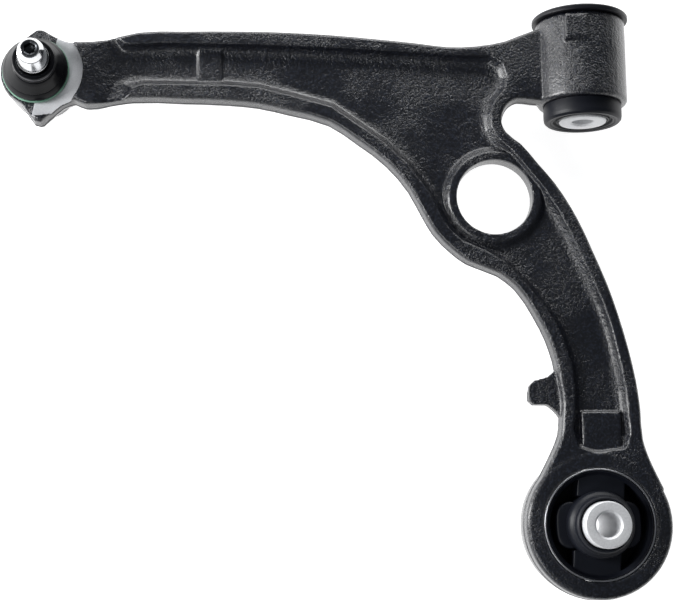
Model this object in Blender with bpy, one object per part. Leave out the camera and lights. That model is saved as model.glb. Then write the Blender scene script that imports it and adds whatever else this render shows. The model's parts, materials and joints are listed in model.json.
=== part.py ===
"""Front lower control arm: an I-section cast arm with a ball joint at its outer end, a bush that lies
along the pivot axis at the front and a bush that stands across the arm at the rear.

The arm lies flat: +X points inboard, +Y forwards and +Z up, along the ball stud. The origin is in the
middle of the arm's box, on the surface that it lies on. All sizes below are in millimetres.
"""
import math

import bmesh
import bpy
from mathutils import Matrix, Vector

METRE = 0.001                 # one millimetre in metres
GAP = 0.3                     # space left between two solids that touch

# ---- driving dimensions ----
BALL_REACH = 328.4            # pivot axis to ball centre, across the arm
BUSH_SPACING = 276.4          # middle of the front boss to the rear bush axis
BALL_SWEEP = -5.8             # ball centre, forwards of the middle of the front boss
HOLE_INBOARD = -55.3          # lightening hole, from the pivot axis
HOLE_BACK = -83.1             # lightening hole, from the middle of the front boss

# casting
BEAM_HEIGHT = 17.6
BEAM_DRAFT = 0.8              # how far the edge leans in from the parting plane to a rim's top
RIM_ROUND = 1.2               # rounding of the rim's outer edge
WEB_THICKNESS = 5.6
HOLE_R = 22.9
HOLE_RIM_HEIGHT = 12.7
HOLE_RIM_WIDTH = 4.2
HOLE_RIM_FOOT = 8.6           # how far the rim's fillet spreads on the web
PAD_HEIGHT = 1.0              # raised square on the front boss
ARM_PAD_HEIGHT = 1.6          # raised field across the long arm

# front bush, from the sleeve outwards
FRONT_BOLT_R = 6.45
FRONT_SLEEVE_R = 14.2
FRONT_RUBBER_WALL = 6.4       # sleeve to tube, with both gaps
FRONT_TUBE_WALL = 2.0
FRONT_BOSS_WALL = 4.1
FRONT_BOSS_LENGTH = 51.0
FRONT_FLANGE_OVERHANG = 2.2
FRONT_FLANGE_THICKNESS = 3.4
FRONT_SLEEVE_LENGTH = 70.8
FRONT_SLEEVE_SHIFT = -0.8     # sleeve's middle, forwards of the boss's middle
FRONT_COLLAR_OVERHANG = 0.8   # rubber collar beyond the tube
FRONT_COLLAR_LENGTH = 10.4
FRONT_LIP_STEP = 2.0          # rubber lip at the flange, inside the tube's bore
FRONT_LIP_LENGTH = 1.6

# rear bush
REAR_SHELL_R = 32.2
REAR_SHELL_WALL = 1.0
REAR_BOSS_WALL = 10.3
REAR_BOSS_HEIGHT = 26.5
REAR_RING_RISE = 0.6          # top of the ring above the beam's rims
REAR_SHELL_LIP = 0.4          # shell's edge above the ring
REAR_SLEEVE_R = 13.2
REAR_SLEEVE_RISE = 22.5       # sleeve's end above the ring
REAR_BOLT_R = 7.0
REAR_LINER_WALL = 2.4
REAR_HUB_WALL = 2.8
REAR_HUB_RISE = 14.0          # hub's end above the ring
REAR_HUB_STEP = 1.8
REAR_HUB_FOOT_WALL = 3.2      # wider foot of the hub
REAR_HUB_FOOT_RISE = 6.0      # its top above the ring
REAR_FLOOR_THICKNESS = 1.8    # thin rubber floor from the liner to the hub
REAR_FLOOR_HEIGHT = 3.0       # its lower side above the webs' lower side
REAR_WEB_WIDTH = 27.5
REAR_WEB_DROP = 3.0           # webs start this far below the ring's faces
REAR_WEB_TURN = math.radians(-5.0)
REAR_BUMP_GAP = 3.8           # bump stop to liner
REAR_LOBE_ROOT = 25.0         # width where the bump stop leaves the hub
REAR_LOBE_TIP = 12.0

# ball joint
BALL_R = 12.5
STUD_LEAN = math.radians(4.0) # the stud rests leaning inboard
STUD_NECK_R = 6.5
STUD_GRIP_R = 9.0             # where the boot's neck holds the stud
STUD_GRIP = (24.0, 32.6)      # heights above the ball centre
STUD_COLLAR_R = 9.3
STUD_COLLAR = (33.4, 34.8)
STUD_TAPER_R = (9.1, 7.6)
STUD_TAPER_END = 47.2
STUD_TIP_R = 5.4
STUD_END = 51.6
STUD_HEX = 6.0                # across flats
STUD_HEX_DEPTH = 5.0
SEAT_WALL = 4.0               # ball to housing bore, with the gap
SEAT_TOP = 6.0                # top of the upper seat above the ball centre
SEAT_FLOOR = 5.1
HOUSING_WALL = 4.4
BALL_END_WALL = 0.7           # outer end of the arm beyond the housing
FACE_RISE = 9.0               # machined face above the ball centre
FACE_MARGIN = 7.1             # facing cut beyond the housing
LIP_HEIGHT = 2.2              # collar round the housing's mouth
LIP_WALL = 2.4
MOUTH_MARGIN = 2.1            # mouth's upper edge beyond the ball
COVER_THICKNESS = 3.0
COVER_MARGIN = 1.5            # cover beyond the seat
COVER_DISH = 1.6              # the cover's middle is pressed out this far
COVER_DISH_R = 9.0
ROLLED_LIP_HEIGHT = 3.7       # housing's lower edge, rolled over the cover
ROLLED_LIP_GRIP = 1.4
BOOT_FOOT_WALL = 1.6
BOOT_FOOT_HEIGHT = 2.8
BOOT_WALL = 1.5
BOOT_NECK_WALL = 3.2
LOWER_RING_WALL = 0.7
UPPER_RING_WIRE = 0.7

# ---- sizes that follow ----
front_tube_r = FRONT_SLEEVE_R + FRONT_RUBBER_WALL + FRONT_TUBE_WALL
front_boss_r = front_tube_r + FRONT_BOSS_WALL
front_flange_r = front_boss_r + FRONT_FLANGE_OVERHANG
rear_boss_r = REAR_SHELL_R + GAP + REAR_BOSS_WALL
rear_core_r = REAR_SLEEVE_R + GAP
rear_hub_r = rear_core_r + REAR_HUB_WALL
rear_liner_r = REAR_SHELL_R - REAR_SHELL_WALL - GAP
rear_lobe_reach = rear_liner_r - REAR_LINER_WALL - REAR_BUMP_GAP
seat_r = BALL_R + SEAT_WALL
seat_bottom = BALL_R + GAP + SEAT_FLOOR
cover_r = seat_r + COVER_MARGIN
housing_r = seat_r + HOUSING_WALL
ball_end_r = housing_r + BALL_END_WALL
face_r = housing_r + FACE_MARGIN
mouth_r = BALL_R + MOUTH_MARGIN
lip_r = mouth_r + LIP_WALL
boot_foot_r = lip_r + GAP + BOOT_FOOT_WALL
boot_neck_r = STUD_GRIP_R + GAP + BOOT_NECK_WALL

# ---- places ----
BEAM_MID_Z = front_flange_r   # parting plane: the arm lies on the front flange
BALL_Z = ROLLED_LIP_HEIGHT + COVER_THICKNESS + GAP + seat_bottom
pivot_x = (BALL_REACH + ball_end_r - rear_boss_r) / 2
front_end = FRONT_SLEEVE_LENGTH / 2 + FRONT_SLEEVE_SHIFT
front_y = (BUSH_SPACING + rear_boss_r - front_end) / 2
FRONT = Vector((pivot_x, front_y, BEAM_MID_Z))
REAR = Vector((pivot_x, front_y - BUSH_SPACING, 0.0))
BALL = Vector((pivot_x - BALL_REACH, front_y + BALL_SWEEP, BALL_Z))
HOLE = Vector((pivot_x + HOLE_INBOARD, front_y + HOLE_BACK, BEAM_MID_Z))
SPAN = (BALL + HOLE) / 2      # halfway along the long arm
LEG = (HOLE + REAR) / 2       # halfway along the rear leg

rim_top = BEAM_MID_Z + BEAM_HEIGHT / 2
ring_top = rim_top + REAR_RING_RISE
ring_bottom = ring_top - REAR_BOSS_HEIGHT
rear_sleeve_top = ring_top + REAR_SLEEVE_RISE
face_z = BALL_Z + FACE_RISE
cover_low = ROLLED_LIP_HEIGHT
cover_top = cover_low + COVER_THICKNESS


# ---- shape helpers ----
def at(anchor, *offsets):
    """Points at the given (x, y) offsets from an anchor."""
    return [Vector((anchor.x + x, anchor.y + y)) for x, y in offsets]


def smooth_run(points, steps=2):
    """A smooth curve through the points, without the last one, its slopes weighted by their spacing."""
    steps_between = [(q - p).length for p, q in zip(points, points[1:])]
    chords = [(q - p) / length for p, q, length in zip(points, points[1:], steps_between)]
    slopes = [chords[0]]
    for k in range(1, len(chords)):
        before, after = steps_between[k - 1], steps_between[k]
        slopes.append((chords[k - 1] * after + chords[k] * before) / (before + after))
    slopes.append(chords[-1])
    run = []
    for k, length in enumerate(steps_between):
        for step in range(steps):
            t = step / steps
            run.append(points[k] * (2 * t ** 3 - 3 * t ** 2 + 1) + points[k + 1] * (3 * t ** 2 - 2 * t ** 3)
                       + slopes[k] * length * (t ** 3 - 2 * t ** 2 + t)
                       + slopes[k + 1] * length * (t ** 3 - t ** 2))
    return run


def inset(loop, distance):
    """A clockwise loop moved inwards along its corners' bisectors."""
    moved = []
    for i, point in enumerate(loop):
        before = (point - loop[i - 1]).normalized()
        after = (loop[(i + 1) % len(loop)] - point).normalized()
        along = (before + after).normalized()
        reach = distance / max(0.5, along.dot(after))
        moved.append(point + Vector((along.y, -along.x)) * reach)
    return moved


def circle(centre, radius, count):
    """A clockwise circle."""
    steps = [-2 * math.pi * k / count for k in range(count)]
    return [Vector((centre.x + radius * math.cos(a), centre.y + radius * math.sin(a))) for a in steps]


def make_object(name, mesh_data, material=None, origin=None, smooth_angle=35):
    """An object from a bmesh in millimetres, with its origin at the given place."""
    bmesh.ops.recalc_face_normals(mesh_data, faces=mesh_data.faces)
    if origin is not None:
        bmesh.ops.translate(mesh_data, verts=mesh_data.verts, vec=-origin)
    bmesh.ops.scale(mesh_data, verts=mesh_data.verts, vec=(METRE, METRE, METRE))
    mesh = bpy.data.meshes.new(name)
    mesh_data.to_mesh(mesh)
    mesh_data.free()
    mesh.shade_smooth()
    mesh.set_sharp_from_angle(angle=math.radians(smooth_angle))
    obj = bpy.data.objects.new(name, mesh)
    bpy.context.scene.collection.objects.link(obj)
    if origin is not None:
        obj.location = origin * METRE
    if material is not None:
        mesh.materials.append(material)
    else:
        obj.hide_render = True
        obj.display_type = 'WIRE'
    return obj


def loft(name, levels, **options):
    """A closed solid through horizontal loops, each given as (loop, z), with flat ends."""
    data = bmesh.new()
    rings = [[data.verts.new((p.x, p.y, z)) for p in loop] for loop, z in levels]
    for low, high in zip(rings, rings[1:]):
        for i in range(len(low)):
            j = (i + 1) % len(low)
            data.faces.new((low[i], low[j], high[j], high[i]))
    data.faces.new(rings[0])
    data.faces.new(rings[-1])
    return make_object(name, data, **options)


def turned(name, profile, count=36, **options):
    """A closed solid turned about Z from a closed (radius, z) outline; points on the axis are shared."""
    data = bmesh.new()
    rings = []
    for radius, z in profile:
        if radius == 0:
            rings.append([data.verts.new((0, 0, z))] * count)
        else:
            rings.append([data.verts.new((p.x, p.y, z)) for p in circle(Vector((0, 0)), radius, count)])
    for low, high in zip(rings, rings[1:] + rings[:1]):
        for i in range(count):
            j = (i + 1) % count
            corners = list(dict.fromkeys((low[i], low[j], high[j], high[i])))
            if len(corners) > 2:
                data.faces.new(corners)
    return make_object(name, data, **options)


def place(obj, location, rotation=(0, 0, 0), parent=None):
    obj.location = location * METRE
    obj.rotation_euler = rotation
    obj.parent = parent
    return obj


def combine(obj, other, operation):
    """Join another solid to an object, or cut it away."""
    modifier = obj.modifiers.new(other.name, 'BOOLEAN')
    modifier.operation = operation
    modifier.solver = 'EXACT'
    modifier.object = other


def join(obj, *others):
    for other in others:
        combine(obj, other, 'UNION')


def cut(obj, *others):
    for other in others:
        combine(obj, other, 'DIFFERENCE')


def weld(obj, distance=0.02):
    """Close the slivers that the cuts leave."""
    modifier = obj.modifiers.new('weld', 'WELD')
    modifier.merge_threshold = distance * METRE


def material(name, color, roughness, metallic=0.0):
    made = bpy.data.materials.new(name)
    made.use_nodes = True
    shader = made.node_tree.nodes['Principled BSDF']
    shader.inputs['Base Color'].default_value = (*color, 1.0)
    shader.inputs['Roughness'].default_value = roughness
    shader.inputs['Metallic'].default_value = metallic
    return made


# ---- the casting's outlines ----
def ball_end_run():
    """Outer end, clockwise seen from above: the rear ear, round the housing and the front ear."""
    reach = ball_end_r - BEAM_DRAFT
    rear_flank = at(BALL, (23.0, -17.8), (15.5, -20.8), (8.6, -27.0), (3.6, -31.8))
    tip = at(BALL, (3.6, -31.8), (0.4, -31.0))
    turn = [math.radians(a) for a in (248, 222, 196, 180, 162, 138, 112)]
    round_end = [Vector((BALL.x + reach * math.cos(a), BALL.y + reach * math.sin(a))) for a in turn]
    front_tip = at(BALL, (0.2, 25.4), (3.2, 25.2))
    front_flank = at(BALL, (3.2, 25.2), (10.2, 21.0), (18.1, 17.6))
    return (smooth_run(rear_flank) + tip + smooth_run(round_end) + round_end[-1:] + front_tip[:1]
            + smooth_run(front_flank))


def beam_outline():
    """Rim's outer edge, clockwise seen from above, starting where the long arm leaves the ball end."""
    front_edge = (at(BALL, (18.1, 17.6), (34.7, 17.6), (47.8, 20.1), (61.4, 23.3))
                  + at(SPAN, (-49.5, 62.6), (-13.0, 62.7), (14.6, 62.0), (40.0, 60.5), (65.6, 58.2))
                  + at(FRONT, (-99.8, 11.0), (-82.4, 8.8), (-64.3, 9.3), (-46.7, 12.5), (-28.9, 19.5),
                       (-10.0, 21.0)))
    boss_inside = at(FRONT, (-10.0, 21.0), (-10.0, -22.4))
    notch = (at(FRONT, (-25.0, -24.0), (-31.0, -23.6), (-40.4, -22.8), (-46.4, -26.0), (-50.0, -32.1),
                (-50.6, -38.2), (-48.1, -44.0)))
    leg_outer = (at(HOLE, (15.9, 31.9), (25.7, 20.0), (35.5, 8.0), (44.6, -6.5), (51.8, -21.1),
                    (56.7, -33.1))
                 + at(LEG, (37.1, 43.4), (42.6, 26.2), (48.0, 5.5), (51.9, -14.4))
                 + at(REAR, (26.0, 66.0), (26.8, 48.5), (29.2, 40.0), (33.4, 29.8), (38.0, 20.0)))
    ring_inside = at(REAR, (38.0, 20.0), (18.0, 2.0), (-18.0, 0.0))
    leg_inner = (at(REAR, (-37.4, 16.5), (-31.4, 28.4), (-24.8, 41.0), (-20.4, 51.4),
                    (-19.4, 60.0), (-18.6, 71.0), (-20.0, 82.0))
                 + at(LEG, (5.5, -1.3), (1.5, 11.6), (-5.4, 25.8))
                 + at(HOLE, (11.7, -54.5), (1.3, -46.1), (-16.8, -38.9), (-24.9, -32.9), (-35.9, -21.5),
                      (-42.2, -10.6), (-50.2, 4.5), (-63.0, 20.3), (-80.7, 34.4)))
    rear_edge = (at(SPAN, (38.6, 7.4), (14.2, 14.2), (-4.2, 18.4), (-22.0, 20.2), (-49.3, 21.2))
                 + at(BALL, (56.6, -16.9), (43.0, -19.1), (30.1, -20.9), (23.0, -17.8)))
    return (smooth_run(front_edge) + boss_inside + smooth_run(notch + leg_outer) + ring_inside
            + smooth_run(leg_inner + rear_edge) + ball_end_run())


def pocket_outline(front_end, rear_end):
    """Rim's inner edge, clockwise seen from above, between two runs that close it at the ball end."""
    points = (at(BALL, *front_end, (60.0, 16.4), (77.5, 17.3))
              + at(SPAN, (-4.0, 54.9), (39.1, 53.1))
              + at(FRONT, (-99.9, 5.7), (-73.4, 3.9), (-56.0, 3.8), (-48.6, -1.2), (-46.0, -9.5),
                   (-48.4, -18.2), (-54.0, -24.8), (-56.6, -32.6), (-56.2, -40.6), (-53.0, -47.0))
              + at(HOLE, (10.6, 28.4), (20.0, 17.0), (29.4, 5.0), (38.4, -9.6), (45.4, -24.0), (50.0, -35.6))
              + at(LEG, (29.9, 44.1), (34.9, 32.0), (39.1, 18.0), (41.7, 6.0), (44.2, -7.2), (46.1, -19.1))
              + at(REAR, (19.0, 68.0), (20.2, 52.0), (17.0, 43.0), (0.0, 41.0), (-11.0, 44.0), (-14.0, 54.0),
                   (-12.6, 66.0), (-12.2, 78.6))
              + at(LEG, (14.3, -4.7), (11.7, 4.3), (9.5, 11.5), (6.2, 19.4), (1.6, 27.2))
              + at(HOLE, (23.3, -61.8), (18.7, -55.7), (4.5, -40.1), (-5.9, -33.7), (-13.2, -30.5),
                   (-20.5, -27.2), (-26.7, -21.3), (-30.8, -16.0), (-34.9, -7.9), (-40.0, 2.4),
                   (-51.6, 18.9), (-68.0, 33.9))
              + at(SPAN, (39.3, 15.8), (15.0, 22.5), (-4.0, 27.4), (-22.0, 29.0), (-49.0, 29.2))
              + at(BALL, (64.0, -9.0), *rear_end))
    return points


# ---- the casting ----
def cast_beam():
    edge = beam_outline()
    half = BEAM_HEIGHT / 2
    profile = [(-half, RIM_ROUND), (0.0, -BEAM_DRAFT), (half - RIM_ROUND, 0.0), (half, RIM_ROUND)]
    levels = [(inset(edge, distance), BEAM_MID_Z + z) for z, distance in profile]
    return loft('control_arm_casting', levels, material=CAST_BLACK)


def pocket(name, side):
    """Trough between the rims, with a rounded foot; side is +1 on top and -1 underneath.

    At the ball end it is as wide as the arm, so the rims start from a slope that crosses the whole arm.
    """
    floor = WEB_THICKNESS / 2
    top = BEAM_HEIGHT / 2
    profile = [(top + 1.5, -0.6,
                [(32.0, -2.0), (32.0, 21.5), (48.6, 21.5), (52.6, 17.2)],
                [(57.5, -12.0), (53.0, -22.5), (32.0, -23.5)]),
               (floor + 3.4, 1.4,
                [(40.6, -2.0), (40.6, 21.0), (48.2, 20.5), (52.0, 16.4)],
                [(57.0, -11.0), (51.6, -21.0), (40.6, -22.5)]),
               (floor + 0.9, 3.6,
                [(43.0, -2.0), (43.0, 14.2), (48.5, 15.4), (53.0, 15.9)],
                [(57.0, -9.6), (52.0, -10.4), (43.0, -10.8)]),
               (floor, 6.8,
                [(45.0, -2.0), (45.0, 13.6), (53.6, 14.8), (56.8, 15.6)],
                [(58.0, -9.2), (53.0, -9.6), (45.0, -9.8)])]
    levels = [(inset(pocket_outline(front_end, rear_end), distance), BEAM_MID_Z + side * z)
              for z, distance, front_end, rear_end in profile]
    return loft(name, levels[::-side])


def hole_rim():
    """Raised rim round the lightening hole, with a fillet down to the web on both sides."""
    half = HOLE_RIM_HEIGHT / 2
    web = WEB_THICKNESS / 2 - 0.4
    crest = HOLE_R + HOLE_RIM_WIDTH
    profile = [(HOLE_R - 2.0, -half), (crest, -half), (HOLE_R + HOLE_RIM_FOOT, -web),
               (HOLE_R + HOLE_RIM_FOOT, web), (crest, half), (HOLE_R - 2.0, half)]
    return place(turned('hole_rim', profile, count=48), HOLE)


def plug(name, place_at, radius, low, high, count):
    """A round cutter along Z."""
    return place(turned(name, [(0, low), (radius, low), (radius, high), (0, high)], count=count), place_at)


def front_boss():
    half = FRONT_BOSS_LENGTH / 2
    r = front_boss_r
    profile = [(0, -half), (r - 1.2, -half), (r, -half + 1.2), (r, half - 1.2), (r - 1.2, half), (0, half)]
    return place(turned('front_boss', profile, count=44), FRONT, (-math.pi / 2, 0, 0))


def rear_ring():
    r = rear_boss_r
    middle = (ring_top + ring_bottom) / 2
    profile = [(0, ring_bottom), (r - 2.4, ring_bottom), (r - 0.8, ring_bottom + 1.6), (r, middle),
               (r - 0.8, ring_top - 1.6), (r - 2.4, ring_top), (0, ring_top)]
    return place(turned('rear_ring', profile, count=60), REAR)


def ball_housing():
    r = housing_r
    profile = [(0, 0), (r - 2.6, 0), (r - 1.0, 1.6),
               (r, BEAM_MID_Z - BEAM_HEIGHT / 2), (r, face_z - 1.0), (0, face_z - 1.0)]
    return place(turned('ball_housing', profile, count=44), Vector((BALL.x, BALL.y, 0)))


def mouth_collar():
    low = face_z - 1.5
    top = face_z + LIP_HEIGHT
    inner = mouth_r - 3.0
    profile = [(inner, low), (lip_r, low), (lip_r, top - 0.5), (lip_r - 0.5, top), (inner, top)]
    return place(turned('mouth_collar', profile, count=40), Vector((BALL.x, BALL.y, 0)))


def housing_bore():
    """Seat bore from below, the rolled lip, and the flared mouth above."""
    seat_bore = seat_r + GAP
    cover_bore = cover_r + GAP
    rolled_lip = cover_r - ROLLED_LIP_GRIP
    cover_seat = cover_low - GAP
    shoulder = cover_top + GAP / 2
    seat_top = BALL_Z + SEAT_TOP + GAP
    mouth_top = face_z + LIP_HEIGHT
    over = max(mouth_top, rim_top) + 2.0
    profile = [(0, -2), (rolled_lip, -2), (rolled_lip, cover_seat), (cover_bore, cover_seat),
               (cover_bore, shoulder), (seat_bore, shoulder), (seat_bore, seat_top),
               (BALL_R - 0.1, seat_top), (mouth_r, mouth_top), (mouth_r + 0.8, over), (0, over)]
    return place(turned('housing_bore', profile, count=40), Vector((BALL.x, BALL.y, 0)))


def facing_cut():
    """Clears everything above the machined face, out to the facing cutter's radius."""
    profile = [(lip_r, face_z), (face_r, face_z), (face_r + 0.5, rim_top + 2), (lip_r, rim_top + 2)]
    return place(turned('facing_cut', profile, count=48), Vector((BALL.x, BALL.y, 0)))


def stop_tab():
    """Small stop on the inner side of the leg."""
    corners = (at(LEG, (14.0, 4.0), (11.0, -2.0), (6.0, -7.6), (1.5, -11.4), (-6.6, -13.6), (-9.2, -16.4),
                  (-9.8, -24.0), (-7.4, -26.2), (0.8, -26.4), (5.0, -29.6), (10.0, -36.0), (16.0, -36.0)))
    half = 4.2
    return loft('stop_tab', [(inset(corners, 0.8), BEAM_MID_Z - half - 1.0),
                             (corners, BEAM_MID_Z - half), (corners, BEAM_MID_Z + half - 2.0),
                             (inset(corners, 0.8), BEAM_MID_Z + half - 1.0)])


def cast_block(name, anchor, low, high, top):
    """A raised block on the web, seen on top."""
    corners = at(anchor, (low[0], low[1]), (low[0], high[1]), (high[0], high[1]), (high[0], low[1]))
    return loft(name, [(corners, BEAM_MID_Z), (corners, top - 0.6), (inset(corners, 0.8), top)])


def boss_pad():
    """Small square pad on top of the front boss."""
    corners = at(FRONT, (-13.8, 7.8), (-13.8, 23.0), (-0.4, 23.0), (-0.4, 7.8))
    top = FRONT.z + front_boss_r + PAD_HEIGHT
    return loft('boss_pad', [(corners, top - 8.0), (corners, top - 0.4), (inset(corners, 0.5), top)])


def control_arm_casting():
    arm = cast_beam()
    cut(arm, pocket('upper_pocket', 1), pocket('lower_pocket', -1))
    web_top = BEAM_MID_Z + WEB_THICKNESS / 2
    join(arm, hole_rim(),
         cast_block('leg_block', REAR, (-8.0, 40.0), (14.6, 65.2), web_top + 4.2),
         cast_block('arm_pad', BALL, (96.5, -10.4), (110.6, 15.4), web_top + ARM_PAD_HEIGHT),
         stop_tab(), rear_ring(), front_boss(), boss_pad(), ball_housing())
    cut(arm, facing_cut())
    join(arm, mouth_collar())
    cut(arm, housing_bore(), plug('hole_cut', HOLE, HOLE_R, -BEAM_HEIGHT, BEAM_HEIGHT, 52),
        plug('rear_bore', REAR, REAR_SHELL_R + GAP, ring_bottom - 2, ring_top + 2, 56))
    bore = plug('front_bore', FRONT, front_tube_r + GAP, -FRONT_BOSS_LENGTH, FRONT_BOSS_LENGTH, 40)
    bore.rotation_euler = (-math.pi / 2, 0, 0)
    cut(arm, bore)
    weld(arm)
    return arm


# ---- ball joint ----
def sphere_run(radius, start, end, steps):
    """(radius, z) points on a ball, from one angle above the equator to another."""
    angles = [start + (end - start) * k / steps for k in range(steps + 1)]
    return [(radius * math.cos(a), radius * math.sin(a)) for a in angles]


def ball_stud():
    neck_angle = math.acos(STUD_NECK_R / BALL_R)
    ball_side = sphere_run(BALL_R, math.radians(-70), neck_angle, 9)
    shank = [(STUD_NECK_R, 17.5), (STUD_GRIP_R, STUD_GRIP[0]), (STUD_GRIP_R, STUD_GRIP[1]),
             (STUD_GRIP_R - 0.8, STUD_GRIP[1]), (STUD_GRIP_R - 0.8, STUD_COLLAR[0]),
             (STUD_COLLAR_R, STUD_COLLAR[0]), (STUD_COLLAR_R, STUD_COLLAR[1]),
             (STUD_TAPER_R[0], STUD_COLLAR[1] + 0.4), (STUD_TAPER_R[1], STUD_TAPER_END - 0.6),
             (STUD_TAPER_R[1] - 0.4, STUD_TAPER_END), (STUD_TIP_R + 0.5, STUD_END - 1.2),
             (STUD_TIP_R, STUD_END - 0.4), (STUD_TIP_R - 0.4, STUD_END), (0, STUD_END)]
    stud = turned('ball_stud', [(0, ball_side[0][1])] + ball_side + shank, count=32, material=BRIGHT_STEEL)
    flats = STUD_HEX / math.sqrt(3)
    socket = turned('hex_socket', [(0, STUD_END - STUD_HEX_DEPTH), (flats, STUD_END - STUD_HEX_DEPTH),
                                   (flats, STUD_END + 1), (0, STUD_END + 1)], count=6)
    place(stud, BALL, (0, STUD_LEAN, 0))
    place(socket, BALL, (0, STUD_LEAN, 0))
    cut(stud, socket)
    return stud


def upper_ball_seat():
    inner = BALL_R + GAP
    opening = math.asin(SEAT_TOP / inner)
    cup = sphere_run(inner, math.radians(1.0), opening, 3)
    profile = cup[::-1] + [(seat_r, cup[0][1]), (seat_r, SEAT_TOP)]
    return place(turned('upper_ball_seat', profile, material=SEAT_PLASTIC), BALL)


def lower_ball_seat():
    inner = BALL_R + GAP
    cup = sphere_run(inner, math.radians(-1.0), math.radians(-85), 8)
    profile = ([(seat_r, cup[0][1])] + cup + [(0, cup[-1][1]), (0, -seat_bottom), (seat_r - 1.0, -seat_bottom),
                                             (seat_r, -seat_bottom + 1.0)])
    return place(turned('lower_ball_seat', profile, material=SEAT_PLASTIC), BALL)


def closing_cover():
    profile = [(0, cover_low - COVER_DISH), (COVER_DISH_R, cover_low - COVER_DISH),
               (COVER_DISH_R + COVER_DISH, cover_low), (cover_r, cover_low), (cover_r, cover_top), (0, cover_top)]
    return place(turned('ball_joint_cover', profile, material=COVER_STEEL),
                 Vector((BALL.x, BALL.y, 0)))


def lean_with_stud(obj, low, high):
    """Turn an upright piece about the ball centre, not at all below low and fully above high."""
    for vertex in obj.data.vertices:
        share = min(1.0, max(0.0, (vertex.co.z / METRE - low) / (high - low)))
        share = share * share * (3 - 2 * share)
        vertex.co = Matrix.Rotation(STUD_LEAN * share, 3, 'Y') @ vertex.co


def boot_profile():
    """Outer side of the boot from its foot to its neck, above the ball centre."""
    foot = FACE_RISE + GAP
    neck = STUD_GRIP[1] - 1.0
    return [(boot_foot_r, foot), (boot_foot_r, foot + BOOT_FOOT_HEIGHT), (boot_foot_r + 0.6, foot + 3.6),
            (boot_foot_r - 0.2, foot + 5.4), (boot_foot_r - 3.6, foot + 10.2), (boot_neck_r + 1.0, foot + 14.0),
            (boot_neck_r - 0.4, foot + 15.6), (boot_neck_r - 0.6, foot + 16.4), (boot_neck_r, foot + 17.2),
            (boot_neck_r, neck - 4.4), (boot_neck_r - 0.9, neck - 3.6), (boot_neck_r - 0.9, neck - 2.0),
            (boot_neck_r, neck - 1.2), (boot_neck_r - 0.6, neck)]


def dust_boot():
    outer = boot_profile()
    foot = outer[0][1]
    neck = outer[-1][1]
    grip = STUD_GRIP_R + GAP
    inner = [(grip, neck), (grip, neck - 6.0), (boot_neck_r - BOOT_WALL - 0.4, foot + 15.6),
             (boot_neck_r + 1.0 - BOOT_WALL, foot + 13.0), (boot_foot_r - 3.6 - BOOT_WALL, foot + 8.8),
             (lip_r + GAP, foot + 4.0), (lip_r + GAP, foot)]
    boot = turned('dust_boot', outer + inner, material=BOOT_RUBBER)
    lean_with_stud(boot, foot + 3.0, neck - 6.0)
    return place(boot, BALL)


def boot_lower_ring():
    foot = FACE_RISE + GAP
    inner = boot_foot_r + GAP
    low = foot + 0.3
    high = foot + BOOT_FOOT_HEIGHT - 0.3
    outer = inner + LOWER_RING_WALL
    profile = [(inner, low), (outer - 0.2, low), (outer, low + 0.3), (outer, high - 0.3),
               (outer - 0.2, high), (inner, high)]
    return place(turned('boot_lower_ring', profile, material=RING_GREEN), BALL)


def boot_upper_ring():
    neck = boot_profile()[-1][1]
    inner = boot_neck_r - 0.9 + GAP
    middle = neck - 2.8
    corners = [math.radians(45 + 60 * k) for k in range(6)]
    profile = [(inner + UPPER_RING_WIRE * (1 + math.cos(a)), middle + UPPER_RING_WIRE * math.sin(a))
               for a in corners]
    return place(turned('boot_upper_ring', profile, material=RING_WIRE), BALL, (0, STUD_LEAN, 0))


# ---- front bush, each piece turned about the pivot axis ----
def along_pivot(obj):
    return place(obj, FRONT, (-math.pi / 2, 0, 0))


def front_outer_tube():
    half = FRONT_BOSS_LENGTH / 2
    inner = front_tube_r - FRONT_TUBE_WALL
    flange_low = half + GAP
    flange_top = flange_low + FRONT_FLANGE_THICKNESS
    r = front_flange_r
    profile = [(inner, -half), (front_tube_r, -half), (front_tube_r, flange_low), (r - 0.4, flange_low),
               (r, flange_low + 0.6), (r, flange_top - 0.8), (r - 0.8, flange_top), (inner, flange_top)]
    return along_pivot(turned('front_bush_outer_tube', profile, count=44, material=BUSH_BLACK))


def front_rubber():
    half = FRONT_BOSS_LENGTH / 2
    core = FRONT_SLEEVE_R + GAP
    tube_inner = front_tube_r - FRONT_TUBE_WALL - GAP
    collar = front_tube_r + FRONT_COLLAR_OVERHANG
    lip = front_tube_r - FRONT_TUBE_WALL - FRONT_LIP_STEP
    near = -half - GAP
    end = near - FRONT_COLLAR_LENGTH
    far = half + GAP + FRONT_FLANGE_THICKNESS + GAP
    profile = [(core, end + 1.6), (core + 1.4, end + 1.2), (core + 1.9, end + 2.2), (core + 3.6, end + 2.2),
               (core + 4.2, end + 0.6), (core + 6.0, end + 0.3), (collar - 1.8, end),
               (collar, end + 2.2), (collar, near), (tube_inner, near), (tube_inner, far),
               (lip, far), (lip, far + FRONT_LIP_LENGTH), (core, far + FRONT_LIP_LENGTH)]
    return along_pivot(turned('front_bush_rubber', profile, material=BUSH_RUBBER))


def sleeve_profile(outer, bore, low, high):
    """A plain sleeve with chamfered ends."""
    edge = 0.5
    mouth = 0.8
    return [(bore, low + mouth), (bore + mouth, low), (outer - edge, low), (outer, low + edge),
            (outer, high - edge), (outer - edge, high), (bore + mouth, high), (bore, high - mouth)]


def front_inner_sleeve():
    half = FRONT_SLEEVE_LENGTH / 2
    profile = sleeve_profile(FRONT_SLEEVE_R, FRONT_BOLT_R, FRONT_SLEEVE_SHIFT - half, FRONT_SLEEVE_SHIFT + half)
    return along_pivot(turned('front_bush_inner_sleeve', profile, material=SLEEVE_METAL))


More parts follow.
